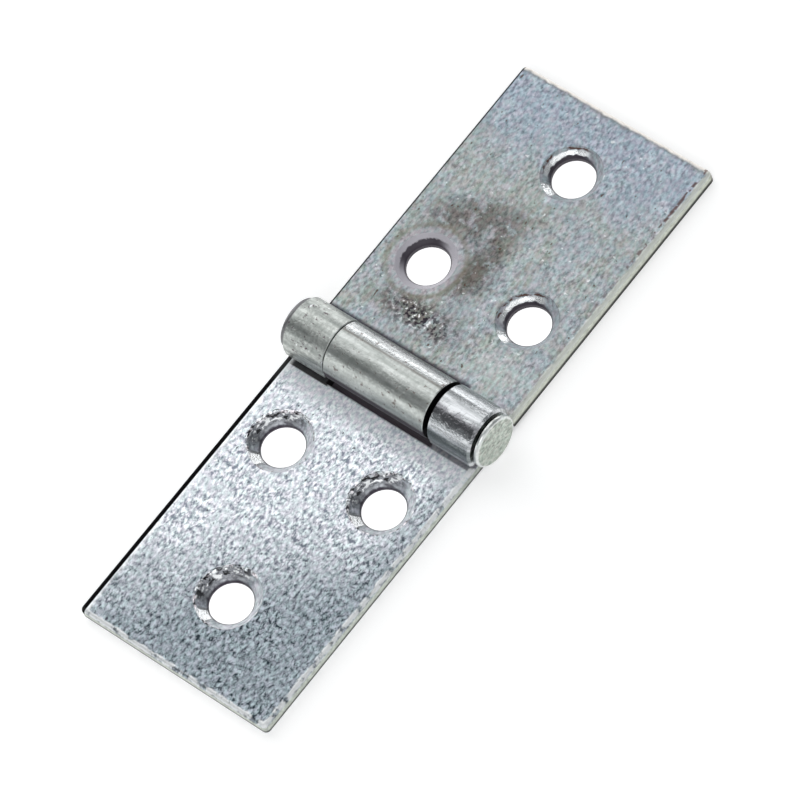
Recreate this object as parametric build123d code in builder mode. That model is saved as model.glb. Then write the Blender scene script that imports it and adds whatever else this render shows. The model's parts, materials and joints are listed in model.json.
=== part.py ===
# Cabinet strap hinge: two leaves of zinc-plated sheet steel, rolled about a riveted pin.
# It lies open and flat, barrel up. X runs along the pin, Y from the near leaf to the far leaf, Z up.
# The origin is on the resting plane, under the pin axis, midway along the near leaf. Lengths are in millimetres.
import os

from build123d import *

# Leaves: one strip width, one reach from the pin axis, one sheet
leaf_width = 25.0
leaf_reach = 37.5
sheet = 1.5
corner_radius = 0.55
rolled_edge = 0.45

# Pin and rolled barrel
pin_diameter = 3.5
pin_clearance = 0.05
head_diameter = 5.9
head_thickness = 0.45
head_round = 0.3
left_head_play = 0.05
right_head_play = 0.4

# Knuckles along the pin: two ends on the near leaf, one middle on the far leaf
end_knuckle = 5.5
knuckle_play = 0.72
closed_seam = 0.1
curl_gap = 0.8
notch_clearance = 0.2
inner_rim_break = 0.08
outer_rim_break = 0.25

# Countersunk screw holes: a pair near the barrel and a single one near the end of each leaf
hole_diameter = 4.8
near_sink_diameter = 7.2
far_sink_diameter = 6.8
sink_angle = 90
pair_spacing = 13.5
near_pair_reach = 11.3
near_single_reach = 28.1
far_pair_reach = 13.4
far_single_reach = 29.6

# Shallow dish that was coined about the far leaf's left hole
dish_diameter = 8.8
dish_depth = 0.12

# Worked out from the sizes above
bore_radius = pin_diameter / 2 + pin_clearance
barrel_radius = bore_radius + sheet
axis_height = barrel_radius
blank_start = barrel_radius + notch_clearance
end_start = leaf_width / 2 - end_knuckle
middle_knuckle = leaf_width - 2 * end_knuckle - knuckle_play
middle_start = -end_start + closed_seam
far_centre = middle_start + middle_knuckle / 2
lip_height = sheet + curl_gap
curl_turn = 270
dish_curve = ((dish_diameter / 2) ** 2 + dish_depth**2) / (2 * dish_depth)


def curl_section(side, start):
    """Section of a curl: from under the pin, up, over the top and straight down towards its own leaf."""
    sweep = -side * curl_turn
    with BuildSketch(Plane.YZ.offset(start)) as section:
        with BuildLine():
            CenterArc((0, axis_height), barrel_radius, -90, sweep)
            Polyline(
                (side * barrel_radius, axis_height),
                (side * barrel_radius, lip_height),
                (side * bore_radius, lip_height),
                (side * bore_radius, axis_height),
            )
            CenterArc((0, axis_height), bore_radius, -90 + sweep, -sweep)
            Line((0, sheet), (0, 0))
        make_face()
    return section.sketch


def rolled_leaf(side, centre, knuckles, pair_reach, single_reach, sink_diameter, dishes=0):
    """A leaf on one side of the pin (-1 near, +1 far), with its knuckles as (start, length) along X.

    The first few of its holes, counted by dishes, lie in a shallow dish.
    """
    with BuildPart() as leaf:
        # Punched blank: the strip, and one tab for each knuckle
        with BuildSketch() as blank:
            with Locations((centre, side * (blank_start + leaf_reach) / 2)):
                Rectangle(leaf_width, leaf_reach - blank_start)
            fillet(blank.vertices().sort_by(Axis.Y, reverse=side > 0)[:2], corner_radius)
            for start, length in knuckles:
                with Locations((start + length / 2, side * blank_start / 2)):
                    Rectangle(length, blank_start)
        extrude(amount=sheet)

        # The punch rolls over the upper rim at the sides and the end of the strip
        upper_edges = leaf.edges().filter_by_position(Axis.Z, sheet, sheet).filter_by(GeomType.LINE)
        strip_end = upper_edges.sort_by(Axis.Y, reverse=side > 0)[0]
        strip_sides = upper_edges.filter_by(Axis.Y).group_by(SortBy.LENGTH)[-1]
        fillet([strip_end, *strip_sides], rolled_edge)

        half_pair = pair_spacing / 2
        screw_places = [
            (centre - half_pair, side * pair_reach, sheet),
            (centre + half_pair, side * pair_reach, sheet),
            (centre, side * single_reach, sheet),
        ]
        for x, y, z in screw_places[:dishes]:
            with Locations((x, y, z - dish_depth + dish_curve)):
                Sphere(dish_curve, mode=Mode.SUBTRACT)
        with Locations(*screw_places):
            CounterSinkHole(hole_diameter / 2, sink_diameter / 2, counter_sink_angle=sink_angle)

        # The tabs are rolled about the pin, and the rims of the knuckles are broken, most at the barrel's ends
        for start, length in knuckles:
            extrude(curl_section(side, start), amount=length)
        rounds = leaf.edges().filter_by(GeomType.CIRCLE)
        rims = [edge for edge in rounds if abs(edge.radius - barrel_radius) < inner_rim_break / 2]
        outer_rims = [rim for rim in rims if abs(rim.center().X) > end_start + end_knuckle / 2]
        inner_rims = [rim for rim in rims if rim not in outer_rims]
        chamfer(inner_rims, inner_rim_break)
        if outer_rims:
            chamfer(outer_rims, outer_rim_break)
    return leaf


# Near leaf: an end knuckle flush with each side of the strip
near_knuckles = [(-leaf_width / 2, end_knuckle), (end_start, end_knuckle)]
near_leaf = rolled_leaf(-1, 0, near_knuckles, near_pair_reach, near_single_reach, near_sink_diameter)

# Far leaf: the middle knuckle, slid along the pin towards the left end knuckle
far_knuckles = [(middle_start, middle_knuckle)]
far_leaf = rolled_leaf(1, far_centre, far_knuckles, far_pair_reach, far_single_reach, far_sink_diameter, dishes=1)

# Pin: a plain shank, headed over at both ends and slid to the right until its left head meets the barrel
with BuildPart() as hinge_pin:
    with BuildSketch(Plane.XZ) as pin_section:
        shank_start = -leaf_width / 2 - left_head_play
        shank_end = leaf_width / 2 + right_head_play
        with Locations((shank_start, axis_height)):
            Rectangle(shank_end - shank_start, pin_diameter / 2, align=Align.MIN)
        for head_start in (shank_start - head_thickness, shank_end):
            with Locations((head_start, axis_height)):
                Rectangle(head_thickness, head_diameter / 2, align=Align.MIN)
        outer = pin_section.vertices().group_by(Axis.Y)[-1].sort_by(Axis.X)
        fillet([outer[0], outer[-1]], head_round)
    revolve(axis=Axis((0, 0, axis_height), (1, 0, 0)))

near_leaf.part.label = "near_leaf"
far_leaf.part.label = "far_leaf"
hinge_pin.part.label = "hinge_pin"

os.makedirs("parts", exist_ok=True)
export_step(near_leaf.part, "parts/near_leaf.step")
export_step(far_leaf.part, "parts/far_leaf.step")
export_step(hinge_pin.part, "parts/hinge_pin.step")
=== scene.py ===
# %% [markdown]
# # A zinc-plated strap hinge
#
# The hinge is two punched strips of sheet steel, rolled about one riveted pin and dipped in bright zinc.
# Its solids come from the packed CAD model, so this lesson only dresses them: it sets up the studio, then
# builds the zinc finish from small shader groups, and adds the fine marks that punching leaves behind.

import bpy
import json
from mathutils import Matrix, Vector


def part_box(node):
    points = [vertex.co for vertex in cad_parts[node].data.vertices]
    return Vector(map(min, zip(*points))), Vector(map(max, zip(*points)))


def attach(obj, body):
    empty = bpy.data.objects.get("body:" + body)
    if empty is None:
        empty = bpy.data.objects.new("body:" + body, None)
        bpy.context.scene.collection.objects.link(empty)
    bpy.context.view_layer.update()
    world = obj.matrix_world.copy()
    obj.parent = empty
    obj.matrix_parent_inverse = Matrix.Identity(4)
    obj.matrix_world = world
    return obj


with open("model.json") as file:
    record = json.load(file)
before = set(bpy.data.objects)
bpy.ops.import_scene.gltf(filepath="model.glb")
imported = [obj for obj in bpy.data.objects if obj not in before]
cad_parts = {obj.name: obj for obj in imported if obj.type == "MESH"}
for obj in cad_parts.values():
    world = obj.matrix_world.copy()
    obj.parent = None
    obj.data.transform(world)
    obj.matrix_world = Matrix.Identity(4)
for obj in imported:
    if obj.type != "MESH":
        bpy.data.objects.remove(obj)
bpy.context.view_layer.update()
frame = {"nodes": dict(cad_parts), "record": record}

# %% [markdown]
# ## Measures
#
# The leaves' boxes give the strip's width, the reach of each leaf and the barrel's radius. Three sizes that a
# box can't give are written here: the sheet's thickness, how far along the pin the end knuckles start, and
# how far from the pin the strip's notch ends. All of them are in millimetres.

# %% Tools and measures
import json
import math
import random

import bpy
import bmesh
from mathutils import Quaternion, Vector

MM = 0.001
nodes = frame["nodes"]
near_low, near_high = (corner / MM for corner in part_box("near_leaf"))
far_low, far_high = (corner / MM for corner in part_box("far_leaf"))
barrel_radius = near_high.z / 2
half_width = (near_high.x - near_low.x) / 2
far_centre = (far_low.x + far_high.x) / 2
near_reach = -near_low.y
far_reach = far_high.y
sheet = 1.5
seam = 7.0
notch_edge = 3.5
print(f"strip {2 * half_width:.2f} wide, barrel {2 * barrel_radius:.2f} across")
print(f"near leaf reaches {near_reach:.2f} and far leaf {far_reach:.2f} from the pin")

# %% [markdown]
# ## Where the screw holes are
#
# The finish changes at each countersink, so the shaders need the hole centres. They could be typed in again,
# but the packed record already lists every screw bore as a mount, so they are read from there.

# %% Read the screw bores
screw_bores = {m["name"]: m for m in frame["record"]["mounts"] if m["kind"] == "bore"}
for name, bore in screw_bores.items():
    print(name, "at", bore["pos_m"], "radius", bore["dims"]["r_mm"], "mm")

# %% [markdown]
# ## The camera
#
# The photograph was taken from well above with a long lens, so the hinge shows almost no perspective and
# runs across the picture on a slant. The camera looks at a point by the barrel and then rolls about its own
# line of sight. A tracking constraint would undo that roll, so the rotation is written as two quaternions.

# %% Camera
view_azimuth = math.radians(59.83)
view_elevation = math.radians(58.71)
view_distance = 668.4 * MM
view_roll = math.radians(-24.38)
view_target = Vector((0.11, -0.43, 0.0)) * MM

towards_camera = Vector((
    math.cos(view_elevation) * math.sin(view_azimuth),
    -math.cos(view_elevation) * math.cos(view_azimuth),
    math.sin(view_elevation),
))
camera_data = bpy.data.cameras.new("studio_camera")
camera_data.lens = 294.5
camera_data.sensor_width = 36.0
camera = bpy.data.objects.new("studio_camera", camera_data)
camera.location = view_target + view_distance * towards_camera
camera.rotation_mode = "QUATERNION"
level_gaze = (-towards_camera).to_track_quat("-Z", "Y")
camera.rotation_quaternion = level_gaze @ Quaternion((0, 0, 1), view_roll)
bpy.context.scene.collection.objects.link(camera)
bpy.context.scene.camera = camera
bpy.context.scene.view_settings.view_transform = "Standard"
print("camera at", [round(v, 3) for v in camera.location])

# %% [markdown]
# ## Placing shader nodes
#
# A finish is a web of small nodes, and writing each link by hand hides what it does. This board places a
# node, feeds each of its inputs with either a plain number or another node's socket, and names the few steps
# that the finishes repeat: arithmetic, soft steps, blends of colour and noise.


# %% A board for shader nodes
class NodeBoard:
    """Places nodes in one tree. Every input takes a number, a colour or another node's socket."""

    def __init__(self, tree):
        self.tree = tree

    def feed(self, socket, value):
        if isinstance(value, bpy.types.NodeSocket):
            self.tree.links.new(value, socket)
        else:
            socket.default_value = value

    def place(self, kind, inputs=None, **settings):
        made = self.tree.nodes.new(kind)
        for name, value in settings.items():
            setattr(made, name, value)
        for key, value in (inputs or {}).items():
            self.feed(made.inputs[key], value)
        return made

    def math(self, operation, first, second=0.0, third=0.0, clamp=False):
        inputs = {0: first, 1: second, 2: third}
        return self.place("ShaderNodeMath", inputs, operation=operation, use_clamp=clamp).outputs[0]

    def vector(self, operation, inputs):
        return self.place("ShaderNodeVectorMath", inputs, operation=operation).outputs

    def stretch(self, vector, scale):
        return self.vector("MULTIPLY", {0: vector, 1: scale})["Vector"]

    def minus(self, first, second):
        return self.vector("SUBTRACT", {0: first, 1: second})["Vector"]

    def dot(self, first, second):
        return self.vector("DOT_PRODUCT", {0: first, 1: second})["Value"]

    def length(self, vector):
        return self.vector("LENGTH", {0: vector})["Value"]

    def split(self, vector):
        return self.place("ShaderNodeSeparateXYZ", {0: vector}).outputs

    def joined(self, x=0.0, y=0.0, z=0.0):
        return self.place("ShaderNodeCombineXYZ", {0: x, 1: y, 2: z}).outputs[0]

    def step(self, value, start, end, low=0.0, high=1.0):
        """A soft step: low before start, high after end."""
        inputs = {"Value": value, "From Min": start, "From Max": end, "To Min": low, "To Max": high}
        return self.place("ShaderNodeMapRange", inputs, interpolation_type="SMOOTHSTEP").outputs[0]

    def blend(self, share, first, second):
        inputs = {"Factor": share, "A": first, "B": second}
        return self.place("ShaderNodeMix", inputs, data_type="FLOAT").outputs[0]

    def tint(self, share, first, second, blend_type="MIX"):
        made = self.place("ShaderNodeMix", data_type="RGBA", blend_type=blend_type)
        self.feed(made.inputs[0], share)
        self.feed(made.inputs[6], first)
        self.feed(made.inputs[7], second)
        return made.outputs[2]

    def noise(self, vector, scale=1.0, detail=2.0, roughness=0.5):
        inputs = {"Vector": vector, "Scale": scale, "Detail": detail, "Roughness": roughness}
        return self.place("ShaderNodeTexNoise", inputs).outputs[0]

    def group(self, tree, inputs=None):
        made = self.place("ShaderNodeGroup", node_tree=tree)
        for key, value in (inputs or {}).items():
            self.feed(made.inputs[key], value)
        return made.outputs


def new_group(name, inputs, outputs):
    """An empty shader group: its board, its inputs' sockets and its outputs' sockets."""
    tree = bpy.data.node_groups.new(name, "ShaderNodeTree")
    for label, kind in inputs.items():
        tree.interface.new_socket(label, in_out="INPUT", socket_type="NodeSocket" + kind)
    for label, kind in outputs.items():
        tree.interface.new_socket(label, in_out="OUTPUT", socket_type="NodeSocket" + kind)
    board = NodeBoard(tree)
    return board, board.place("NodeGroupInput").outputs, board.place("NodeGroupOutput").inputs


def new_material(name):
    """A material with one Principled shader: the material, its board and that shader."""
    material = bpy.data.materials.new(name)
    material.use_nodes = True
    return material, NodeBoard(material.node_tree), material.node_tree.nodes["Principled BSDF"]


print("node board ready")

# %% [markdown]
# ## Floor and light
#
# The photograph has a bare white ground. A white floor under plain lamps does that: the floor's own colour
# is pale, and a little glow, seen only by the camera and by reflections, takes it up to white and still
# leaves the soft shadow. What shows through the screw holes is floor as well, deep in shade, so it glows
# more there. Under the barrel it doesn't glow, and below the notch its colour is darkened as painted shade,
# so the gaps stay dark.

# %% Floor
floor_size = 1.6
floor_drop = 0.02
floor_white = (0.75, 0.75, 0.75, 1)
floor_painted_shade = (0.26, 0.22, 0.26, 1)
open_glow = 0.50
hole_glow = 0.82

floor_place = (0, 0, -floor_drop * MM)
bpy.ops.mesh.primitive_grid_add(x_subdivisions=8, y_subdivisions=8, size=floor_size, location=floor_place)
floor = bpy.context.object
floor.name = "studio_floor"
floor_material, board, shader = new_material("white_floor")
shader.inputs["Roughness"].default_value = 0.95
shader.inputs["Emission Color"].default_value = (1, 1, 1, 1)

floor_point = board.stretch(board.place("ShaderNodeTexCoord").outputs["Object"], (1 / MM, 1 / MM, 1 / MM))
floor_split = board.split(floor_point)
floor_across = board.math("ABSOLUTE", floor_split["X"])
floor_along = board.math("ABSOLUTE", floor_split["Y"])
past_barrel = board.step(floor_along, 4.5, 6.5)
past_ends = board.step(floor_across, half_width - 1.0, half_width + 0.3)
under_width = board.step(floor_across, half_width, half_width - 0.8)
under_reach = board.step(floor_along, far_reach, far_reach - 0.8)
under_leaf = board.math("MULTIPLY", under_width, under_reach)
notch_start = board.step(floor_split["Y"], -4.0, -3.4)
notch_end = board.step(floor_split["Y"], -1.5, -2.1)
under_notch = board.math("MULTIPLY", notch_start, notch_end)
# Below the notch the floor's colour is darkened: painted shade.
painted_notch_shade = board.math("MULTIPLY", under_notch, board.math("SUBTRACT", 1.0, past_ends))
board.feed(shader.inputs["Base Color"], board.tint(painted_notch_shade, floor_white, floor_painted_shade))

rays = board.place("ShaderNodeLightPath").outputs
seen = board.math("MAXIMUM", rays["Is Camera Ray"], rays["Is Glossy Ray"])
seen = board.math("MAXIMUM", seen, rays["Is Transmission Ray"])
glow = board.blend(under_leaf, open_glow, hole_glow)
glow = board.math("MULTIPLY", glow, board.math("MAXIMUM", past_barrel, past_ends))
board.feed(shader.inputs["Emission Strength"], board.math("MULTIPLY", seen, glow))
floor.data.materials.append(floor_material)
print("floor", floor_size, "m square")

# %% [markdown]
# The light is a set of soft panels, each where one kind of face mirrors it. The flat leaves see the top
# panel, the rolled left edges the left one, the two shoulders of the barrel the strips behind and in front,
# and the left walls of the countersinks and the right edges those at the right. No metal face mirrors the
# fill in front, which only lifts what is matt. The sky between them is dim overhead, which darkens the
# burnished knuckle's band, and painted dark bands on that knuckle deepen it.

# %% Lamps and sky
sky_tint = (0.93, 0.97, 1.0, 1)
sky_low = 0.34
sky_overhead = 0.16


def add_panel(name, towards, distance, size, radiance):
    """A soft lamp, out along a direction from the barrel. Lengths in metres; a radiance of 1 is white."""
    data = bpy.data.lights.new(name, "AREA")
    data.shape = "RECTANGLE"
    data.size, data.size_y = size
    data.energy = radiance * math.pi * size[0] * size[1]
    lamp = bpy.data.objects.new(name, data)
    lamp.location = Vector(towards).normalized() * distance
    lamp.rotation_mode = "QUATERNION"
    lamp.rotation_quaternion = (-lamp.location).to_track_quat("-Z", "Y")
    bpy.context.scene.collection.objects.link(lamp)


add_panel("top_panel", (-0.47, 0.29, 0.84), 0.80, (0.90, 0.62), 1.12)
add_panel("left_panel", (-0.93, 0.22, 0.34), 0.90, (0.90, 0.55), 1.60)
add_panel("back_strip", (-0.45, 0.86, 0.22), 0.90, (0.80, 0.26), 1.50)
add_panel("front_strip", (-0.30, -0.90, 0.24), 0.90, (0.90, 0.24), 1.30)
add_panel("right_panel", (0.80, -0.30, 0.50), 0.90, (1.50, 0.36), 1.00)
add_panel("front_fill", (0.30, -0.60, 0.74), 0.90, (0.60, 0.60), 1.40)
add_panel("high_panel", (0.42, 0.26, 0.87), 0.80, (0.26, 0.46), 0.80)

sky = bpy.data.worlds.new("studio_sky")
bpy.context.scene.world = sky
sky.use_nodes = True
sky_board = NodeBoard(sky.node_tree)
sky_height = sky_board.split(sky_board.place("ShaderNodeTexCoord").outputs["Generated"])["Z"]
background = sky.node_tree.nodes["Background"]
background.inputs["Color"].default_value = sky_tint
sky_board.feed(background.inputs["Strength"], sky_board.step(sky_height, 0.15, 0.55, sky_low, sky_overhead))

# %% [markdown]
# ## Where a point lies on the hinge
#
# Every mark on this hinge has a place: the cone of a countersink, the rim of the strip, the top of the
# barrel. An unwrapped image could hold them, but object coordinates do it with no image and stay put when a
# leaf swings. This first group hands out the point in millimetres, its place around the pin and how its face
# lies.

# %% Group: place on the hinge
place_board, given, result = new_group("place_on_hinge", {}, {
    "Point": "Vector", "X": "Float", "Y": "Float", "Z": "Float", "Strip": "Float",
    "Upper Side": "Float", "Under Side": "Float", "Wall": "Float", "End Face": "Float",
    "Around": "Float", "Pin Radius": "Float",
})
coordinates = place_board.place("ShaderNodeTexCoord").outputs
point = place_board.stretch(coordinates["Object"], (1 / MM, 1 / MM, 1 / MM))
split = place_board.split(point)
facing = place_board.split(coordinates["Normal"])
level = place_board.math("ABSOLUTE", facing["Z"])
endwise = place_board.math("ABSOLUTE", facing["X"])
above_pin = place_board.math("SUBTRACT", split["Z"], barrel_radius)
from_pin = place_board.joined(y=split["Y"], z=above_pin)
place_board.feed(result["Point"], point)
for axis in "XYZ":
    place_board.feed(result[axis], split[axis])
place_board.feed(result["Strip"], place_board.step(split["Z"], sheet + 0.3, sheet + 0.1))
place_board.feed(result["Upper Side"], place_board.step(facing["Z"], 0.3, 0.7))
place_board.feed(result["Under Side"], place_board.step(facing["Z"], -0.80, -0.95))
place_board.feed(result["Wall"], place_board.step(level, 0.55, 0.15))
place_board.feed(result["End Face"], place_board.step(endwise, 0.80, 0.95))
place_board.feed(result["Around"], place_board.math("ARCTAN2", split["Y"], above_pin))
place_board.feed(result["Pin Radius"], place_board.length(from_pin))
place_on_hinge = place_board.tree
print("group", place_on_hinge.name, "puts out", [socket.name for socket in result if socket.name])

# %% [markdown]
# ## Zinc grain
#
# Bright zinc on rolled steel isn't smooth. Seen close, it is pebbled: pale grains about half a millimetre
# wide, drawn out along the strip by the rolling mill, with thin dark creases between them. The creases are
# where a noise crosses its own middle value, which gives closed wandering lines. A second noise makes some
# grains paler than others, a third turns their hue a little, and its rare peaks are dark specks. A slow
# fourth noise lets the grain fade in some places and stand out in others.

# %% Group: zinc grain
grain_board, given, result = new_group(
    "zinc_grain",
    {"Point": "Vector", "Size": "Float", "Contrast": "Float", "Crease": "Float"},
    {"Tone": "Float", "Hue": "Float", "Speck": "Float", "Height": "Float"})
middle_tone = 0.62
drawn_out = grain_board.stretch(given["Point"], (1.0, 0.62, 1.0))
per_grain = grain_board.math("DIVIDE", 1.0, given["Size"])
grains = grain_board.vector("SCALE", {0: drawn_out, 3: per_grain})["Vector"]
pebbles = grain_board.noise(grains, 0.50, 2.0, 0.5)
flecks = grain_board.noise(grains, 0.95, 2.0, 0.6)
hues = grain_board.noise(grains, 0.72, 1.0, 0.5)
off_middle = grain_board.math("ABSOLUTE", grain_board.math("SUBTRACT", pebbles, 0.5))
crease = grain_board.step(off_middle, 0.055, 0.0)
cloud = grain_board.step(grain_board.noise(given["Point"], 0.35, 2.0), 0.35, 0.65, 0.75, 1.25)
swing = grain_board.math("MULTIPLY_ADD", flecks, 3.2, -1.6)
swing = grain_board.math("SUBTRACT", swing, grain_board.math("MULTIPLY", crease, given["Crease"]))
swing = grain_board.math("MULTIPLY", swing, cloud)
tone = grain_board.math("MULTIPLY_ADD", swing, given["Contrast"], middle_tone)
grain_board.feed(result["Tone"], grain_board.math("ADD", tone, 0.0, clamp=True))
grain_board.feed(result["Hue"], grain_board.step(hues, 0.36, 0.64))
grain_board.feed(result["Speck"], grain_board.step(hues, 0.71, 0.77))
grain_board.feed(result["Height"], grain_board.math("MULTIPLY_ADD", crease, -0.5, flecks))
zinc_grain = grain_board.tree
print("group", zinc_grain.name, "with", len(zinc_grain.nodes), "nodes")

# %% [markdown]
# ## Edges of the strip
#
# The punch drags the sheet over at its sides and end, and handling then polishes that rim in some places and
# soils it in others. This group measures how far a point is from each edge of its strip, and gives two
# noises to break the bands up: one that makes them wander and one that cuts them into dashes.

# %% Group: strip edges
edge_board, given, result = new_group(
    "strip_edges",
    {"Point": "Vector", "Centre": "Float", "Reach": "Float"},
    {"Left Gap": "Float", "Right Gap": "Float", "End Gap": "Float", "Wander": "Float", "Dash": "Float"})
split = edge_board.split(given["Point"])
from_centre = edge_board.math("SUBTRACT", split["X"], given["Centre"])
from_barrel = edge_board.math("ABSOLUTE", split["Y"])
wander = edge_board.noise(given["Point"], 1.1, 3.0)
dashes = edge_board.noise(given["Point"], 0.9, 4.0, 0.65)
edge_board.feed(result["Left Gap"], edge_board.math("ADD", half_width, from_centre))
edge_board.feed(result["Right Gap"], edge_board.math("SUBTRACT", half_width, from_centre))
edge_board.feed(result["End Gap"], edge_board.math("SUBTRACT", given["Reach"], from_barrel))
edge_board.feed(result["Wander"], edge_board.math("SUBTRACT", wander, 0.5))
edge_board.feed(result["Dash"], edge_board.step(dashes, 0.38, 0.52))
strip_edges = edge_board.tree
print("group", strip_edges.name, "with", len(strip_edges.nodes), "nodes")

# %% [markdown]
# ## Countersinks
#
# Each hole is punched and then countersunk by a coarse cutter, which chatters: the cone has short pale and
# dark facets, and the narrow land below it is painted dark as shade. The cutter also leans, so the marks are
# strongest on one side of every hole, away from the viewer, and one short stretch gets a painted highlight
# whose bump tilts it flatter than the cone, towards the light. One group knows one hole, and a leaf uses it
# three times.

# %% Group: countersink marks
away_side = (-0.86, 0.50, 0.0)
across_side = (away_side[1], -away_side[0], 0.0)
glint_side = (-0.40, -0.92, 0.0)
sink_board, given, result = new_group(
    "countersink_marks",
    {"Point": "Vector", "Hole": "Vector", "Land Radius": "Float", "Sink Radius": "Float"},
    {"Radius": "Float", "Cone": "Float", "Land": "Float", "Chatter": "Float", "Scar": "Float",
     "Tear": "Float", "Away": "Float", "Scraped": "Float", "Flattened": "Float"})


def past_sink(gap):
    """A radius that lies some way outside the countersink's edge, or inside it where the gap is negative."""
    return sink_board.math("ADD", given["Sink Radius"], gap)


flat_offset = sink_board.stretch(sink_board.minus(given["Point"], given["Hole"]), (1, 1, 0))
radius = sink_board.length(flat_offset)
outward = sink_board.vector("NORMALIZE", {0: flat_offset})["Vector"]
away = sink_board.dot(outward, away_side)
across = sink_board.dot(outward, across_side)
away_share = sink_board.step(away, 0.0, 0.75)
glint_share = sink_board.step(sink_board.dot(outward, glint_side), 0.94, 0.98)
frayed = sink_board.math("SUBTRACT", sink_board.noise(given["Point"], 2.0, 3.0), 0.5)
frayed_radius = sink_board.math("MULTIPLY_ADD", frayed, 0.35, radius)

round_cone = sink_board.joined(
    sink_board.math("MULTIPLY", sink_board.math("ARCTAN2", across, away), 3.4),
    sink_board.math("MULTIPLY", radius, 2.4),
    sink_board.length(given["Hole"]))
facets = sink_board.noise(round_cone, 1.15, 2.0, 0.6)
upper_cone = sink_board.step(frayed_radius, past_sink(-0.95), past_sink(-0.55))
inside_lip = sink_board.step(frayed_radius, past_sink(0.25), past_sink(0.10))
torn = sink_board.math("MULTIPLY", sink_board.math("MULTIPLY", upper_cone, inside_lip), away_share)
land_end = sink_board.math("ADD", given["Land Radius"], 0.25)
down_cone = sink_board.math("MAXIMUM", sink_board.math("SUBTRACT", given["Sink Radius"], radius), 0.0)

sink_board.feed(result["Radius"], frayed_radius)
sink_board.feed(result["Cone"], sink_board.step(radius, given["Sink Radius"], past_sink(-0.08)))
sink_board.feed(result["Land"], sink_board.step(radius, land_end, given["Land Radius"]))
sink_board.feed(result["Chatter"], sink_board.step(facets, 0.34, 0.66))
sink_board.feed(result["Scar"], sink_board.math("MULTIPLY", torn, sink_board.step(facets, 0.52, 0.58)))
sink_board.feed(result["Tear"], sink_board.math("MULTIPLY", torn, sink_board.step(facets, 0.46, 0.40)))
sink_board.feed(result["Away"], away_share)
sink_board.feed(result["Scraped"], glint_share)
sink_board.feed(result["Flattened"], sink_board.math("MULTIPLY", glint_share, down_cone))
countersink_marks = sink_board.tree
print("group", countersink_marks.name, "with", len(countersink_marks.nodes), "nodes")

# %% [markdown]
# ## Rolling marks on the barrel
#
# Rolling the tabs over drags the zinc along the barrel, and leaves dirt in the slits and between the
# knuckles, where no brush reaches and shade falls. Noise that is stretched along the pin gives fine
# lengthwise streaks. The dark inside comes from the distance to the pin's axis: close to the axis, a face is
# inside the barrel and painted dark, as dirt and painted shade.

# %% Group: rolling marks
rolling_board, given, result = new_group(
    "rolling_marks",
    {"Point": "Vector", "Around": "Float", "Pin Radius": "Float"},
    {"Barrel": "Float", "Streak": "Float", "Speck": "Float", "Ripple": "Float", "Inside": "Float"})
split = rolling_board.split(given["Point"])
unrolled = rolling_board.joined(
    rolling_board.math("MULTIPLY", split["X"], 0.10),
    rolling_board.math("MULTIPLY", given["Around"], barrel_radius))
streaks = rolling_board.noise(unrolled, 1.5, 4.0, 0.6)
specks = rolling_board.noise(given["Point"], 1.7, 3.0, 0.65)
ripples = rolling_board.noise(given["Point"], 0.9, 3.0, 0.6)
rolling_board.feed(result["Barrel"], rolling_board.step(split["Z"], sheet + 0.05, sheet + 0.40))
rolling_board.feed(result["Streak"], rolling_board.step(streaks, 0.32, 0.68))
rolling_board.feed(result["Speck"], rolling_board.step(specks, 0.60, 0.68))
rolling_board.feed(result["Ripple"], rolling_board.math("MULTIPLY_ADD", ripples, 0.6, -0.3))
rolling_board.feed(result["Inside"], rolling_board.step(given["Pin Radius"], 2.60, 2.40))
rolling_marks = rolling_board.tree
print("group", rolling_marks.name, "with", len(rolling_marks.nodes), "nodes")

# %% [markdown]
# ## Stains
#
# Zinc that has been handled dulls in soft patches. A stain is an oval with a slant, and noise frays its edge.

# %% Group: stain
stain_board, given, result = new_group(
    "stain",
    {"Point": "Vector", "Middle": "Vector", "Length": "Float", "Width": "Float", "Turn": "Float",
     "Fray": "Float"},
    {"Stain": "Float"})
turning = {"Vector": given["Point"], "Center": given["Middle"], "Angle": given["Turn"]}
turned = stain_board.place("ShaderNodeVectorRotate", turning, rotation_type="Z_AXIS").outputs[0]
split = stain_board.split(stain_board.minus(turned, given["Middle"]))
oval = stain_board.joined(
    stain_board.math("DIVIDE", split["X"], given["Length"]),
    stain_board.math("DIVIDE", split["Y"], given["Width"]))
wander = stain_board.math("SUBTRACT", stain_board.noise(given["Point"], 0.4, 4.0, 0.6), 0.5)
frayed_oval = stain_board.math("MULTIPLY_ADD", wander, given["Fray"], stain_board.length(oval))
stain_board.feed(result["Stain"], stain_board.step(frayed_oval, 1.2, 0.2))
stain = stain_board.tree
print("group", stain.name, "with", len(stain.nodes), "nodes")

# %% [markdown]
# ## A finish in layers
#
# A painter would lay these effects one over the other, each through its own mask. This small class does the
# same with nodes: it keeps the colour, roughness, relief and metal so far, and lays the next mark over them.
# A mark goes right through the sheet, because it only knows its place, so the underside is cleared at the end.


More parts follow.
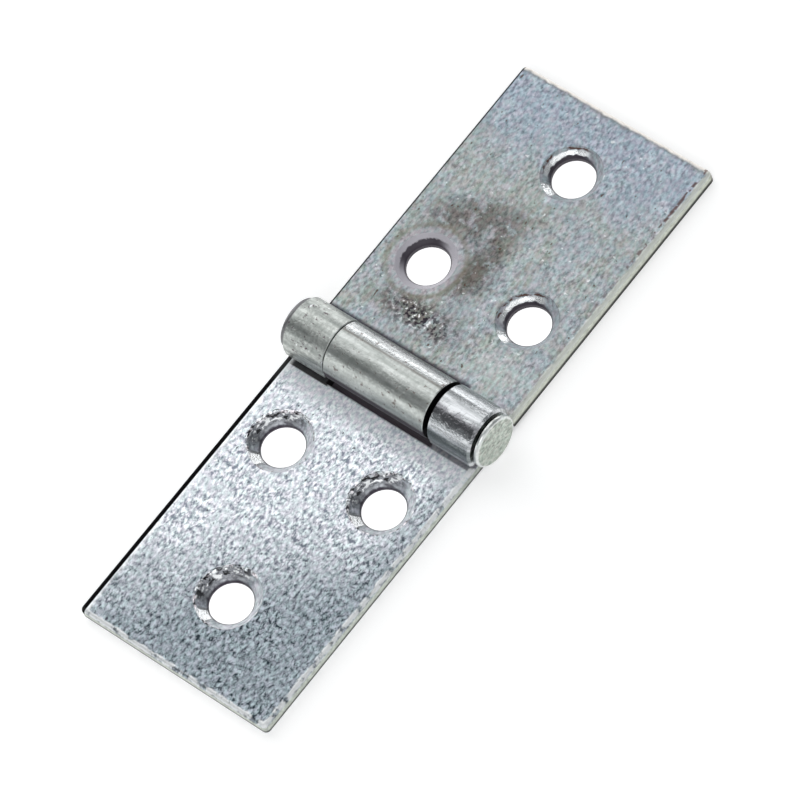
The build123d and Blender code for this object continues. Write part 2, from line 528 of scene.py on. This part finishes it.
# %% Layers of a finish
class Finish:
    """A zinc finish that is built up in layers, each laid over the last through a mask."""

    def __init__(self, name, grain, dark, light, roughness, hues):
        self.material, self.board, self.shader = new_material(name)
        self.here = self.board.group(place_on_hinge)
        self.point = self.here["Point"]
        self.grain = self.use(zinc_grain, dict(zip(("Size", "Contrast", "Crease"), grain)))
        self.hue = self.board.tint(self.grain["Hue"], *hues)
        self.colour = self.grained(dark, light)
        self.roughness = self.board.step(self.grain["Tone"], 0.0, 1.0, roughness + 0.10, roughness)
        self.height = self.grain["Height"]
        self.metal = 1.0
        self.bare = (self.colour, self.roughness, self.height)

    def use(self, tree, values):
        """A group placed at this finish's own point."""
        return self.board.group(tree, {"Point": self.point, **values})

    def grained(self, dark, light):
        """This finish's grain between two colours, with its turn of hue."""
        return self.board.tint(1.0, self.board.tint(self.grain["Tone"], dark, light), self.hue, "MULTIPLY")

    def both(self, *masks):
        """Where every mask holds."""
        share = masks[0]
        for mask in masks[1:]:
            share = self.board.math("MULTIPLY", share, mask)
        return share

    def off(self, mask):
        """Where the mask doesn't hold."""
        return self.board.math("SUBTRACT", 1.0, mask)

    def between(self, value, low, high, soft):
        """Where a value lies between two others, with soft ends."""
        past_low = self.board.step(value, low - soft, low + soft)
        before_high = self.board.step(value, high + soft, high - soft)
        return self.both(past_low, before_high)

    def lay(self, mask, colour=None, roughness=None, strength=1.0, relief=0.0, metal=None):
        share = mask if strength == 1.0 else self.board.math("MULTIPLY", mask, strength)
        if colour is not None:
            self.colour = self.board.tint(share, self.colour, colour)
        if roughness is not None:
            self.roughness = self.board.blend(share, self.roughness, roughness)
        if metal is not None:
            self.metal = self.board.blend(share, self.metal, metal)
        if relief:
            self.height = self.board.math("MULTIPLY_ADD", mask, relief, self.height)

    def clear(self, mask):
        """Takes every layer off again where the mask holds, down to the bare zinc."""
        colour, roughness, height = self.bare
        self.lay(mask, colour, roughness, metal=1.0)
        self.height = self.board.blend(mask, self.height, height)

    def tell(self, laid):
        print(f"{self.material.name}: {laid} laid, {len(self.board.tree.nodes)} nodes so far")

    def close(self, pieces, depth, strength):
        """Joins the layers to the shader and dresses pieces in them. The bump's depth is in millimetres."""
        relief = {"Height": self.height, "Strength": strength, "Distance": depth * MM}
        bump = self.board.place("ShaderNodeBump", relief)
        self.board.feed(self.shader.inputs["Metallic"], self.metal)
        self.board.feed(self.shader.inputs["Base Color"], self.colour)
        self.board.feed(self.shader.inputs["Roughness"], self.roughness)
        self.board.feed(self.shader.inputs["Normal"], bump.outputs[0])
        for piece in pieces:
            piece.data.materials.clear()
            piece.data.materials.append(self.material)
        print(self.material.name, "on", [piece.name for piece in pieces])


print("layers ready:", [name for name in vars(Finish) if not name.startswith("_")])

# %% [markdown]
# ## Marks that both leaves share
#
# Both leaves have sheared walls with a foot painted dark as shadow, countersinks, and dirt and painted shade
# inside the barrel. These are laid by one function each, so that a leaf's own cells only hold what is special
# to it.

# %% Colours that several layers share
# The pale colour serves real polish and painted highlights; the black and the purple serve dirt and painted
# shade.
polish_and_highlight = (0.95, 0.97, 0.98, 1)
cream_highlight = (0.97, 0.93, 0.88, 1)
dirt_and_shade_black = (0.012, 0.011, 0.012, 1)
purple_dirt_and_shade = (0.035, 0.026, 0.040, 1)
rust_brown = (0.105, 0.050, 0.040, 1)
print("shared colours: polished, cream, soot, purple dirt and rust brown")


# %% Shared marks of the leaves
def bores_of(leaf):
    """One leaf's screw bores by name: the middle, the land's radius and the sink's radius."""
    found = {}
    for name, mount in screw_bores.items():
        if name.startswith(leaf):
            land = mount["dims"]["r_mm"]
            sink_depth = sheet - mount["dims"]["length_mm"]
            found[name] = (tuple(Vector(mount["pos_m"]) / MM), land, land + sink_depth)
    return found


def marks_of(finish, bore):
    middle, land, sink = bore
    return finish.use(countersink_marks, {"Hole": middle, "Land Radius": land, "Sink Radius": sink})


def rolling_of(finish):
    here = finish.here
    return finish.use(rolling_marks, {"Around": here["Around"], "Pin Radius": here["Pin Radius"]})


def stain_of(finish, middle, length, width, turn=0.0, fray=1.0):
    """An oval stain on the leaf's upper side, with its middle as X and Y."""
    oval = {"Middle": (*middle, sheet), "Length": length, "Width": width, "Turn": turn, "Fray": fray}
    return finish.use(stain, oval)["Stain"]


def edges_of(finish, centre, reach):
    return finish.use(strip_edges, {"Centre": centre, "Reach": reach})


def band_along(finish, edges, gap, width):
    """A wandering band of some width along one edge, on the strip's upper side."""
    uneven = finish.board.math("MULTIPLY_ADD", edges["Wander"], 0.8 * width, edges[gap])
    return finish.both(finish.board.step(uneven, width, 0.4 * width), finish.here["Strip"])


def left_rim_of(finish, edges, width, soft):
    """The upper part of the rolled left edge, some width in from the side."""
    beside = finish.board.step(edges["Left Gap"], width, width - soft)
    return finish.both(beside, finish.here["Strip"], finish.board.step(finish.here["Z"], 0.85, 1.05))


def lay_walls(finish, dark, light):
    board, here = finish.board, finish.here
    walls = finish.both(here["Wall"], here["Strip"])
    foot = finish.both(walls, board.step(here["Z"], 0.70, 0.35))
    finish.lay(walls, board.tint(finish.grain["Tone"], dark, light), 0.45)
    # The foot of each wall is painted black: painted shadow where the wall meets the ground.
    finish.lay(foot, dirt_and_shade_black, 0.6, strength=0.9)


def lay_painted_glint(finish, marks, fill):
    """A painted highlight on a short stretch of a cone. Its relief fills the cone up towards the hole, so the
    bump tilts it flatter.
    """
    finish.lay(finish.both(marks["Cone"], marks["Scraped"]), polish_and_highlight, 0.22, metal=1.0)
    finish.lay(marks["Flattened"], relief=fill)


print("near bores:", list(bores_of("near")))
print("far bores:", list(bores_of("far")))

# %% [markdown]
# ## The near leaf
#
# The near leaf is the brighter one: pebbled blue-silver, duller towards its free end and right corner. Beside
# the barrel it is painted pale and matt as painted light, which keeps it pale although the barrel stands in
# its light.

# %% Near leaf: zinc
near = Finish(
    "near_leaf_zinc", grain=(0.36, 0.85, 0.40), roughness=0.30,
    dark=(0.24, 0.265, 0.31, 1), light=(0.97, 0.99, 1.0, 1),
    hues=((0.98, 0.95, 1.0, 1), (0.93, 1.0, 1.0, 1)))
board, here = near.board, near.here
dull_zinc = near.grained((0.03, 0.042, 0.05, 1), (0.50, 0.56, 0.60, 1))
painted_light_zinc = near.grained((0.50, 0.54, 0.60, 1), (1.0, 1.0, 1.0, 1))

towards_end = board.math("MULTIPLY", here["Y"], -0.060)
towards_corner = board.math("MULTIPLY_ADD", here["X"], 0.042, towards_end)
cloud = board.math("MULTIPLY_ADD", board.noise(near.point, 0.22, 3.0, 0.6), 0.6, -0.3)
dull_end = board.step(board.math("ADD", towards_corner, cloud), 0.85, 1.95)
right_side = near.both(board.step(here["X"], 8.0, 12.0), here["Strip"])
beside_barrel = near.both(here["Strip"], board.step(here["Y"], -6.8, -4.4))
near.lay(dull_end, dull_zinc, 0.40)
near.lay(right_side, dull_zinc, 0.40, strength=0.65)
near.lay(near.grain["Speck"], (0.07, 0.06, 0.085, 1), 0.5, strength=0.8, relief=-0.5)
# Beside the barrel the leaf is painted pale and non-metallic: painted light that lifts the barrel's shade.
near.lay(beside_barrel, painted_light_zinc, 0.6, metal=0.0)
near.tell("zinc")

# %% [markdown]
# Its two end knuckles differ. The right one was burnished in the rolling, so it mirrors the studio in bands,
# which painted dark bands deepen, and the left one kept a dull, speckled skin with a soiled outer rim. The
# slit where each curl comes down to the leaf is painted dark, as packed dirt and painted shade.

# %% Near leaf: knuckles
rolling = rolling_of(near)
right_knuckle = near.both(rolling["Barrel"], board.step(here["X"], seam - 0.2, seam))
left_knuckle = near.both(rolling["Barrel"], board.step(here["X"], 0.2 - seam, -seam))
burnished = board.tint(rolling["Streak"], (0.36, 0.38, 0.39, 1), (0.72, 0.74, 0.76, 1))
speckled = board.tint(rolling["Streak"], (0.40, 0.43, 0.41, 1), (0.72, 0.75, 0.72, 1))

rippled = board.math("ADD", here["Around"], rolling["Ripple"])
# Two dark bands on the burnished knuckle: painted reflection of the dim sky.
painted_dark_top_band = near.both(right_knuckle, near.between(rippled, -0.58, -0.20, 0.10))
painted_dark_low_band = near.both(right_knuckle, near.between(here["Around"], -1.70, -1.08, 0.07))
near.lay(right_knuckle, burnished, 0.22)
near.lay(painted_dark_top_band, (0.10, 0.09, 0.11, 1), strength=0.6)
near.lay(painted_dark_low_band, (0.12, 0.15, 0.15, 1), strength=0.7)

left_creases = near.both(left_knuckle, near.off(near.grain["Tone"]))
left_rim = near.both(left_knuckle, board.step(here["X"], 0.30 - half_width, 0.16 - half_width))
near.lay(left_knuckle, speckled, 0.36)
near.lay(left_creases, (0.16, 0.17, 0.16, 1), strength=0.45)
near.lay(near.both(left_knuckle, rolling["Speck"]), (0.10, 0.055, 0.075, 1), strength=0.8, relief=-0.6)
near.lay(near.both(left_knuckle, near.grain["Speck"]), polish_and_highlight, 0.3, strength=0.8)
near.lay(left_rim, purple_dirt_and_shade, 0.5, strength=0.75)

slit_floor = near.both(here["Strip"], here["Upper Side"])
at_left = board.step(here["X"], 0.6 - seam, 0.2 - seam)
left_slit = board.step(here["Y"], -notch_edge - 0.30, -notch_edge - 0.14)
other_slits = board.step(here["Y"], -notch_edge - 0.20, -notch_edge)
# The slits are painted dark: packed dirt and painted shade.
near.lay(near.both(slit_floor, left_slit, at_left), dirt_and_shade_black, 0.7, strength=0.97)
near.lay(near.both(slit_floor, other_slits, near.off(at_left)), purple_dirt_and_shade, 0.7, strength=0.7)
near.tell("knuckles")

# %% [markdown]
# The sheared walls are plain, the rolled left edge has a painted highlight with a black line of painted
# shadow outside it, and the other two rims have painted highlights in dashes. The walls of the notch, under
# the barrel, are painted black as shade.

# %% Near leaf: edges
near_edges = edges_of(near, 0.0, near_reach)
off_wall = near.off(here["Wall"])
lay_walls(near, dark=(0.42, 0.45, 0.41, 1), light=(0.66, 0.70, 0.63, 1))
notch_width = board.step(board.math("ABSOLUTE", here["X"]), seam + 0.4, seam + 0.1)
notch_depth = board.step(here["Y"], -notch_edge - 0.25, -notch_edge - 0.05)
# The notch walls under the barrel are painted black: painted shade.
near.lay(near.both(here["Wall"], here["Strip"], notch_width, notch_depth), dirt_and_shade_black, 0.7)
# A pale band along the rolled left edge: painted highlight.
painted_highlight_edge = near.both(band_along(near, near_edges, "Left Gap", 1.25), off_wall)
near.lay(painted_highlight_edge, polish_and_highlight, 0.24, strength=0.85)
# Pale, partly matt dashes along the right and end rims: painted highlights.
for gap in ("Right Gap", "End Gap"):
    uneven = board.math("MULTIPLY_ADD", near_edges["Wander"], 0.6, near_edges[gap])
    rim = near.both(near.between(uneven, 0.02, 0.50, 0.12), near_edges["Dash"], here["Strip"], off_wall)
    near.lay(rim, polish_and_highlight, 0.30, strength=0.9, metal=0.2)
# A black line on the upper rolled left edge: painted shadow.
near.lay(left_rim_of(near, near_edges, 0.70, 0.08), dirt_and_shade_black, 0.9)
near.tell("edges")

# %% [markdown]
# Its countersinks are dark and torn on the side away from the viewer, and painted light makes them grey at the
# flanks and pale at the low side, with one painted highlight.

# %% Near leaf: countersinks
half_lit_cone = near.grained((0.26, 0.28, 0.31, 1), (0.66, 0.69, 0.74, 1))
lit_cone = near.grained((0.46, 0.49, 0.53, 1), (0.96, 0.98, 1.0, 1))
for bore in bores_of("near").values():
    marks = marks_of(near, bore)
    chattered = board.tint(marks["Chatter"], (0.14, 0.14, 0.16, 1), (0.44, 0.46, 0.49, 1))
    flanks = near.both(marks["Cone"], board.step(marks["Away"], 0.95, 0.45))
    low_side = near.both(marks["Cone"], board.step(marks["Away"], 0.30, 0.0))
    near.lay(marks["Cone"], chattered, 0.34)
    # The flanks and the low side are painted lighter than the side away from the viewer: painted light.
    near.lay(flanks, half_lit_cone, 0.5, strength=0.8, metal=0.3)
    near.lay(low_side, lit_cone, 0.5, strength=0.85, metal=0.1)
    lay_painted_glint(near, marks, fill=36.0)
    near.lay(marks["Scar"], dirt_and_shade_black, 0.55, strength=0.92, relief=-1.2)
    near.lay(marks["Tear"], polish_and_highlight, 0.30, strength=0.9, relief=0.8)
    # The land is painted dark: painted shade in the hole.
    near.lay(marks["Land"], purple_dirt_and_shade, 0.5, strength=0.9)
near.clear(here["Under Side"])
# Inside the barrel the leaf is painted black: dirt and painted shade.
near.lay(rolling["Inside"], dirt_and_shade_black, 0.7)
near.close([nodes["near_leaf"]], depth=0.03, strength=0.7)

# %% [markdown]
# ## The far leaf
#
# The far leaf is smoother and greyer, mottled greenish and bluish, with rust specks. Brown smudges spread
# from its left screw hole, a patch of small pits lies between that hole and the barrel, and the sheet is
# scuffed pale where the right knuckle of the other leaf rubs it.

# %% Far leaf: zinc
far = Finish(
    "far_leaf_zinc", grain=(0.34, 0.68, 0.10), roughness=0.34,
    dark=(0.14, 0.16, 0.18, 1), light=(0.43, 0.47, 0.51, 1),
    hues=((1.0, 0.93, 0.95, 1), (0.90, 1.0, 0.98, 1)))
board, here = far.board, far.here
green_zinc = far.grained((0.19, 0.20, 0.17, 1), (0.40, 0.42, 0.36, 1))
bright_zinc = far.grained((0.22, 0.25, 0.28, 1), (0.56, 0.60, 0.64, 1))
blue_zinc = far.grained((0.15, 0.18, 0.235, 1), (0.43, 0.49, 0.585, 1))
mottle = board.step(board.noise(far.point, 0.26, 5.0, 0.72), 0.40, 0.60)
along_strip = board.stretch(far.point, (2.6, 0.22, 1.0))
mill_lines = board.step(board.noise(along_strip, 0.9, 3.0, 0.6), 0.40, 0.66)
far_end = board.step(here["Y"], 24.0, 34.0)
far.lay(mottle, green_zinc, strength=0.7)
far.lay(mill_lines, bright_zinc, strength=0.42)
far.lay(far_end, blue_zinc, strength=0.7)
far.tell("zinc")

# %% Far leaf: smudges and specks
brown_smudge = far.grained((0.050, 0.038, 0.034, 1), (0.180, 0.158, 0.132, 1))
scuffed_zinc = far.grained((0.28, 0.31, 0.30, 1), (0.60, 0.64, 0.62, 1))
pale_zinc = far.grained((0.30, 0.32, 0.35, 1), (0.60, 0.63, 0.68, 1))
above_hole = stain_of(far, (-5.2, 20.0), length=6.8, width=3.6, turn=-0.4)
beside_hole = stain_of(far, (-1.7, 15.4), length=2.8, width=5.2)
below_hole = stain_of(far, (-4.2, 8.0), length=6.5, width=2.4)
scuff = stain_of(far, (7.5, 7.2), length=5.0, width=2.8, fray=1.2)
blotches = board.step(board.noise(far.point, 0.75, 3.0, 0.65), 0.50, 0.68)
bright_specks = board.step(board.noise(far.point, 1.30, 2.0, 0.6), 0.67, 0.73)
far.lay(above_hole, brown_smudge, 0.5, strength=0.75)
far.lay(beside_hole, brown_smudge, 0.5, strength=0.85)
far.lay(below_hole, brown_smudge, 0.5, strength=0.68)
far.lay(scuff, scuffed_zinc, strength=0.6)
far.lay(blotches, pale_zinc, strength=0.55)
far.lay(bright_specks, polish_and_highlight, 0.3, strength=0.45, relief=0.4)
far.lay(far.grain["Speck"], rust_brown, 0.5, strength=0.75, relief=-0.4)
far.tell("smudges and specks")

# %% Far leaf: pits
pit_patch = stain_of(far, (-3.4, 7.7), length=5.4, width=2.0, turn=0.08, fray=0.8)
pit_noise = board.noise(far.point, 2.1, 1.5, 0.5)
pits = far.both(pit_patch, board.step(pit_noise, 0.52, 0.60))
pit_rims = far.both(pit_patch, board.step(pit_noise, 0.40, 0.33))
far.lay(pits, purple_dirt_and_shade, 0.6, strength=0.9, relief=-2.0)
far.lay(pit_rims, polish_and_highlight, 0.25, strength=0.75, relief=1.0)
far.tell("pits")

# %% [markdown]
# The middle knuckle belongs to this leaf: it is dull, streaked lengthwise and speckled, with one bright band
# of painted highlight on its far shoulder, a brown line beside that band, painted light on its lower near
# side, and a dark line where it meets the flat sheet, of dirt and painted shade. The dark line thins out
# behind the barrel.

# %% Far leaf: knuckle
rolling = rolling_of(far)
knuckle = rolling["Barrel"]
streaked = board.tint(rolling["Streak"], (0.42, 0.45, 0.43, 1), (0.72, 0.75, 0.73, 1))
painted_highlight_streaks = board.tint(rolling["Streak"], (0.62, 0.64, 0.65, 1), polish_and_highlight)
shoulder = far.both(knuckle, far.between(here["Around"], 0.36, 0.98, 0.06))
brown_line = far.both(knuckle, far.between(here["Around"], 0.26, 0.33, 0.04))
painted_light_lower_side = far.both(knuckle, far.between(here["Around"], -1.42, -0.60, 0.12))
creases = far.both(knuckle, far.off(far.grain["Tone"]))
far.lay(knuckle, streaked, 0.34)
# The bright band on the far shoulder: painted highlight.
far.lay(shoulder, painted_highlight_streaks, 0.22, strength=0.85)
far.lay(brown_line, rust_brown, strength=0.45)
# The lower near side is painted lighter: painted light.
far.lay(painted_light_lower_side, (0.74, 0.78, 0.74, 1), strength=0.40)
far.lay(creases, (0.17, 0.18, 0.17, 1), strength=0.35)
far.lay(far.both(knuckle, rolling["Speck"]), rust_brown, strength=0.65, relief=-0.6)

thinner_behind = board.step(here["Around"], 1.28, 1.60, 1.0, 0.35)
far_foot = far.both(knuckle, board.step(here["Around"], 1.02, 1.14), thinner_behind)
near_foot = far.both(knuckle, far.between(here["Around"], -1.80, -1.40, 0.09))
left_of_scuff = board.step(here["X"], seam - 0.4, seam - 1.0)
foot_line = far.both(here["Strip"], here["Upper Side"], board.step(here["Y"], 4.6, 4.0), left_of_scuff)
# Dark lines where the knuckle meets the sheets: dirt and painted shade.
far.lay(far_foot, purple_dirt_and_shade, 0.6, strength=0.9)
far.lay(near_foot, purple_dirt_and_shade, 0.7, strength=0.95, metal=0.0)
far.lay(foot_line, purple_dirt_and_shade, 0.6, strength=0.85)
far.tell("knuckle")

# %% [markdown]
# Its end has a cream rim of painted highlight with a dark band inside it. The right rim is painted pale as a
# highlight, with short brown dashes that get denser towards the end, and the left one has a thin black line
# of painted shadow.

# %% Far leaf: edges
far_edges = edges_of(far, far_centre, far_reach)
off_wall = far.off(here["Wall"])
lay_walls(far, dark=(0.46, 0.48, 0.42, 1), light=(0.70, 0.73, 0.64, 1))
dark_band = band_along(far, far_edges, "End Gap", 0.95)
end_highlight_rim = far.both(band_along(far, far_edges, "End Gap", 0.60), off_wall)
right_highlight_rim = far.both(band_along(far, far_edges, "Right Gap", 0.60), off_wall)
far.lay(dark_band, (0.13, 0.12, 0.10, 1), strength=0.6)
# Cream and pale rims along the end and the right edge: painted highlights.
far.lay(end_highlight_rim, cream_highlight, 0.3, metal=0.6)
far.lay(right_highlight_rim, (0.84, 0.87, 0.80, 1), 0.35, strength=0.85, metal=0.3)
short_dashes = board.step(board.noise(far.point, 1.6, 2.0), 0.47, 0.56)
denser_at_end = board.step(here["Y"], 18.0, 32.0, 0.35, 1.0)
dash_line = far.both(far.between(far_edges["Right Gap"], 0.50, 0.85, 0.10), short_dashes, here["Strip"])
far.lay(far.both(dash_line, denser_at_end), rust_brown, 0.5, strength=0.8)
# A black line on the upper rolled left edge: painted shadow.
far.lay(left_rim_of(far, far_edges, 0.40, 0.10), dirt_and_shade_black, 0.9, strength=0.8)
far.tell("edges")

# %% [markdown]
# Two of this leaf's countersinks have the sheet's own grey, with a bright crescent of painted highlight above
# the dark wall of the hole, which is painted shade, a broken brown line outside it, and one short painted
# highlight. The left one is paler. It lies in a shallow coined dish, which the CAD model has, and dirt and
# painted shade mark the dish's rim.

# %% Far leaf: countersinks
dish_radius = 4.4
sheet_grey = far.grained((0.24, 0.26, 0.29, 1), (0.54, 0.58, 0.63, 1))
dish_grey = far.grained((0.26, 0.255, 0.28, 1), (0.46, 0.45, 0.48, 1))
for name, bore in bores_of("far").items():
    marks = marks_of(far, bore)
    land = bore[1]
    radius = marks["Radius"]
    far.lay(marks["Cone"], sheet_grey, 0.55, metal=0.15)
    if name == "far_screw_left":
        dish = board.step(radius, dish_radius - 0.1, dish_radius - 0.6)
        dish_rim = far.between(radius, dish_radius - 0.35, dish_radius + 0.20, 0.25)
        # The hole's wall on the side away from the viewer is painted dark: painted shade.
        dark_wall = far.both(marks["Away"], board.step(radius, land + 0.58, land + 0.44))
        far.lay(marks["Cone"], (0.58, 0.56, 0.61, 1), 0.5, metal=0.2)
        far.lay(far.both(dish, far.off(marks["Cone"])), dish_grey, strength=0.7)
        far.lay(dish_rim, (0.20, 0.18, 0.13, 1), 0.5, strength=0.42)
        far.lay(dark_wall, purple_dirt_and_shade, 0.5, strength=0.95)
    else:
        turned_away = board.step(marks["Away"], 0.60, 0.98)
        # The bright crescent is a painted highlight; the dark wall below it is painted shade.
        crescent = far.both(turned_away, far.between(radius, land + 0.26, land + 0.66, 0.08))
        outside = far.both(turned_away, far.between(radius, land + 0.72, land + 0.90, 0.06))
        dark_wall = far.both(marks["Away"], board.step(radius, land + 0.34, land + 0.20))
        lay_painted_glint(far, marks, fill=11.0)
        far.lay(crescent, polish_and_highlight, 0.26, metal=0.8)
        far.lay(far.both(outside, board.step(marks["Chatter"], 0.30, 0.60)), rust_brown, 0.5, metal=0.3)
        far.lay(dark_wall, purple_dirt_and_shade, 0.5)
    # The land is painted dark: painted shade in the hole.
    far.lay(marks["Land"], purple_dirt_and_shade, 0.5, strength=0.92)
far.clear(here["Under Side"])
# Inside the barrel the leaf is painted black: dirt and painted shade.
far.lay(rolling["Inside"], dirt_and_shade_black, 0.7)
# The end faces between the knuckles are painted black: painted shade in the gaps.
open_end = board.math("MAXIMUM", board.step(here["X"], -0.5, 0.5), board.step(here["Around"], 0.05, 0.25))
far.lay(far.both(knuckle, here["End Face"], open_end), dirt_and_shade_black, 0.7)
far.close([nodes["far_leaf"]], depth=0.03, strength=0.6)

# %% [markdown]
# ## Burrs
#
# The cutter throws up a ragged burr around the near leaf's countersinks, highest on the side away from the
# viewer. Bump alone would leave the edge smooth in outline, so each burr is a thin ring of real metal: a
# three-sided tube whose crest jumps up and down. Its feet sink into the leaf, so no gap shows. The jumps come
# from a seeded random source, and every run is the same.


# %% Burr rings
def burr_ring(name, bore, tallest, seed):
    """A ragged ring on a countersink's upper edge. Lengths are in millimetres."""
    middle, _, sink = bore
    steps = 140
    foot = 0.22
    sunk = 0.03
    jump_chance = 0.4
    tooth_sizes = (0.0, 0.4, 0.7, 1.0)
    lean = math.atan2(away_side[1], away_side[0])
    chance = random.Random(seed)
    mesh = bmesh.new()
    loops = []
    tooth = 0.0
    crest_shift = 0.0
    for k in range(steps):
        angle = 2 * math.pi * k / steps
        share = max(0.0, math.cos(angle - lean)) ** 0.7
        if chance.random() < jump_chance:
            tooth = chance.choice(tooth_sizes)
            crest_shift = chance.uniform(-0.20, 0.12)
        height = tallest * share * tooth * chance.uniform(0.8, 1.0)
        inner_foot = (sink - foot, -foot - sunk)
        crest = (sink + crest_shift, height - sunk)
        outer_foot = (sink + foot, -sunk)
        loop = []
        for reach, lift in (inner_foot, crest, outer_foot):
            x = middle[0] + reach * math.cos(angle)
            y = middle[1] + reach * math.sin(angle)
            loop.append(mesh.verts.new(Vector((x, y, sheet + lift)) * MM))
        loops.append(loop)
    for loop, next_loop in zip(loops, loops[1:] + loops[:1]):
        for side in range(3):
            onward = (side + 1) % 3
            mesh.faces.new((loop[side], loop[onward], next_loop[onward], next_loop[side]))
    bmesh.ops.recalc_face_normals(mesh, faces=mesh.faces)
    data = bpy.data.meshes.new(name)
    mesh.to_mesh(data)
    mesh.free()
    ring = bpy.data.objects.new(name, data)
    bpy.context.scene.collection.objects.link(ring)
    return ring


burrs = []
for seed, (name, bore) in enumerate(bores_of("near").items()):
    burr = burr_ring(name.replace("screw", "burr"), bore, tallest=0.20, seed=seed)
    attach(burr, "near_side")
    burrs.append(burr)
burr_steel = Finish(
    "burr_steel", grain=(0.45, 1.3, 0.3), roughness=0.32,
    dark=(0.03, 0.028, 0.034, 1), light=(0.95, 0.96, 0.98, 1),
    hues=((1.0, 0.94, 0.96, 1), (0.96, 1.0, 1.0, 1)))
burr_steel.close(burrs, depth=0.02, strength=0.5)

# %% [markdown]
# ## The pin
#
# The pin is drawn wire, headed over cold at both ends. Its heads are duller and flatter in tone than the
# leaves, with a polished edge at the right and a soiled one at the left. Its shank, which shows only in the
# gaps, is dark.

# %% Pin
pin = Finish(
    "pin_zinc", grain=(0.30, 0.8, 0.3), roughness=0.36,
    dark=(0.27, 0.30, 0.27, 1), light=(0.62, 0.66, 0.61, 1),
    hues=((1.0, 0.97, 0.96, 1), (0.95, 1.0, 0.97, 1)))
board, here = pin.board, pin.here
head_edge = board.step(here["Pin Radius"], 2.60, 2.80)
left_head_edge = pin.both(head_edge, board.step(here["X"], 0.5, -0.5))
shank = board.step(here["Pin Radius"], 1.95, 1.80)
between_heads = board.step(board.math("ABSOLUTE", here["X"]), half_width + 0.3, half_width + 0.1)
pin.lay(pin.grain["Speck"], (0.16, 0.15, 0.13, 1), strength=0.6, relief=-0.4)
pin.lay(head_edge, polish_and_highlight, 0.22, strength=0.6)
pin.lay(left_head_edge, purple_dirt_and_shade, 0.5, strength=0.75)
# The shank between the heads is painted black: painted shade in the gaps.
pin.lay(pin.both(shank, between_heads), dirt_and_shade_black, 0.7)
pin.close([nodes["hinge_pin"]], depth=0.03, strength=0.5)
